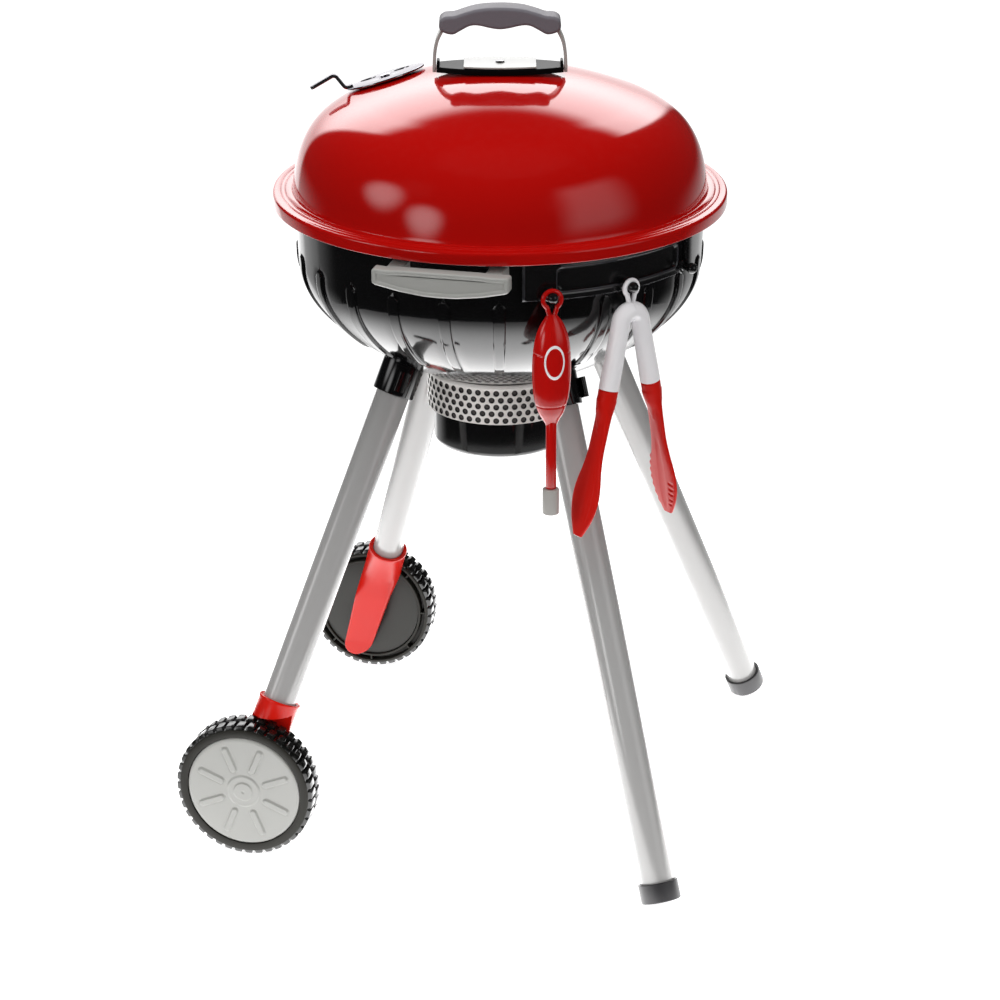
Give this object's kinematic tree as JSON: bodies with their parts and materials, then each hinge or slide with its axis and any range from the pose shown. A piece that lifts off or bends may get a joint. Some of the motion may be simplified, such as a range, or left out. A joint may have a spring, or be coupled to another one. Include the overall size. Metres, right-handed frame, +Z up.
{
  "type": "toy barbecue grill",
  "caption": "Toy kettle barbecue grill on splayed legs with two treaded wheels, a lift-off lid with a damper, and a rack holding a toy igniter and toy tongs.",
  "frame": {"origin": "middle of the footprint, on the floor", "axes": "+Z up, the front handle faces -Y, the wheels are on the -X side"},
  "size_m": [0.3509, 0.3682, 0.5588],
  "materials": {
    "black_gloss_plastic": "high gloss",
    "axle": "plain",
    "coal_black_plastic": "rough",
    "grate_grey_plastic": "satin",
    "chrome": "mirror plated",
    "dark_rubber": "matte",
    "silver_grey_plastic": "satin",
    "tool_red_plastic": "gloss",
    "tip_grey_plastic": "satin",
    "silver_leg_finish": "satin metallic",
    "grip_grey_plastic": "fine texture",
    "red_gloss_plastic": "gloss",
    "tool_white_plastic": "gloss",
    "tyre_black_plastic": "semi matte",
    "vent_band": "silver printed",
    "dark_grey_plastic": "semi matte"
  },
  "bodies": {
    "stand": {"ash_cup": "black_gloss_plastic", "axle_back_left": "axle", "axle_front_left": "axle", "bowl": "black_gloss_plastic", "bowl_lip": "black_gloss_plastic", "coal_bed": "coal_black_plastic", "foot_cap_back_right": "dark_rubber", "foot_cap_front_right": "dark_rubber", "front_handle": "silver_grey_plastic", "leg_socket_back_left": "black_gloss_plastic", "leg_socket_back_right": "black_gloss_plastic", "leg_socket_front_left": "black_gloss_plastic", "leg_socket_front_right": "black_gloss_plastic", "leg_tube_back_left": "silver_leg_finish", "leg_tube_back_right": "silver_leg_finish", "leg_tube_front_left": "silver_leg_finish", "leg_tube_front_right": "silver_leg_finish", "tool_rack": "black_gloss_plastic", "vent_band": "vent_band", "wheel_bracket_back_left": "red_gloss_plastic", "wheel_bracket_front_left": "red_gloss_plastic"},
    "lid": {"lid_shell": "red_gloss_plastic", "lid_grip": "grip_grey_plastic", "lid_strap_left": "chrome", "lid_strap_right": "chrome", "lid_handle_base": "black_gloss_plastic", "lid_handle_plate": "silver_grey_plastic", "lid_handle_screw": "chrome", "damper_rivet": "chrome"},
    "damper": {"damper_disc": "chrome"},
    "wheel_front_left": {"tyre_front_left": "tyre_black_plastic", "hubcap_front_left": "silver_grey_plastic", "wheel_back_disc_front_left": "dark_grey_plastic"},
    "wheel_back_left": {"tyre_back_left": "tyre_black_plastic", "hubcap_back_left": "silver_grey_plastic", "wheel_back_disc_back_left": "dark_grey_plastic"},
    "grate": {"cooking_grate": "grate_grey_plastic"},
    "igniter": {"igniter_body": "tool_red_plastic", "igniter_rod": "tool_red_plastic", "igniter_tip": "tip_grey_plastic", "igniter_label": "tool_red_plastic"},
    "tongs": {"tongs_bow": "tool_white_plastic"},
    "tongs_left": {"tongs_arm_left": "tool_white_plastic", "tongs_jaw_left": "tool_red_plastic"},
    "tongs_right": {"tongs_arm_right": "tool_white_plastic", "tongs_jaw_right": "tool_red_plastic"}
  },
  "joints": [
    {"name": "lid_lift", "type": "slide", "parent": "stand", "child": "lid", "axis": [0, 0, 1], "range_m": [0, 0.2]},
    {"name": "damper_turn", "type": "hinge", "parent": "lid", "child": "damper", "pos_m": [-0.07184, 0.01459, 0.50119], "axis": [-0.3196, 0.0563, 0.9459], "range_deg": [-45, 45]},
    {"name": "wheel_roll_front", "type": "hinge", "parent": "stand", "child": "wheel_front_left", "pos_m": [-0.12736, -0.15665, 0.0481], "axis": [0, 1, 0], "continuous": true},
    {"name": "wheel_roll_back", "type": "hinge", "parent": "stand", "child": "wheel_back_left", "pos_m": [-0.12736, 0.15665, 0.0481], "axis": [0, 1, 0], "continuous": true},
    {"name": "grate_lift", "type": "slide", "parent": "stand", "child": "grate", "axis": [0, 0, 1], "range_m": [0, 0.012]},
    {"name": "igniter_swing", "type": "hinge", "parent": "stand", "child": "igniter", "pos_m": [0.07705, -0.13272, 0.405], "axis": [0.4462, -0.8949, 0], "range_deg": [-25, 3]},
    {"name": "tongs_swing", "type": "hinge", "parent": "stand", "child": "tongs", "pos_m": [0.12109, -0.09923, 0.405], "axis": [0.7431, -0.6691, 0], "range_deg": [-3, 25]},
    {"name": "tongs_squeeze_left", "type": "hinge", "parent": "tongs", "child": "tongs_left", "pos_m": [0.11584, -0.10506, 0.38075], "axis": [0.7431, -0.6691, 0], "range_deg": [0, 11], "stiffness_Nm_per_rad": 0.2, "springref_deg": -5.73},
    {"name": "tongs_squeeze_right", "type": "hinge", "parent": "tongs", "child": "tongs_right", "pos_m": [0.12634, -0.0934, 0.38075], "axis": [-0.7431, 0.6691, 0], "range_deg": [0, 11], "stiffness_Nm_per_rad": 0.2, "springref_deg": -5.73}
  ],
  "couplings": [
    {"joint": "tongs_squeeze_right", "follows": "tongs_squeeze_left", "ratio": 1}
  ]
}
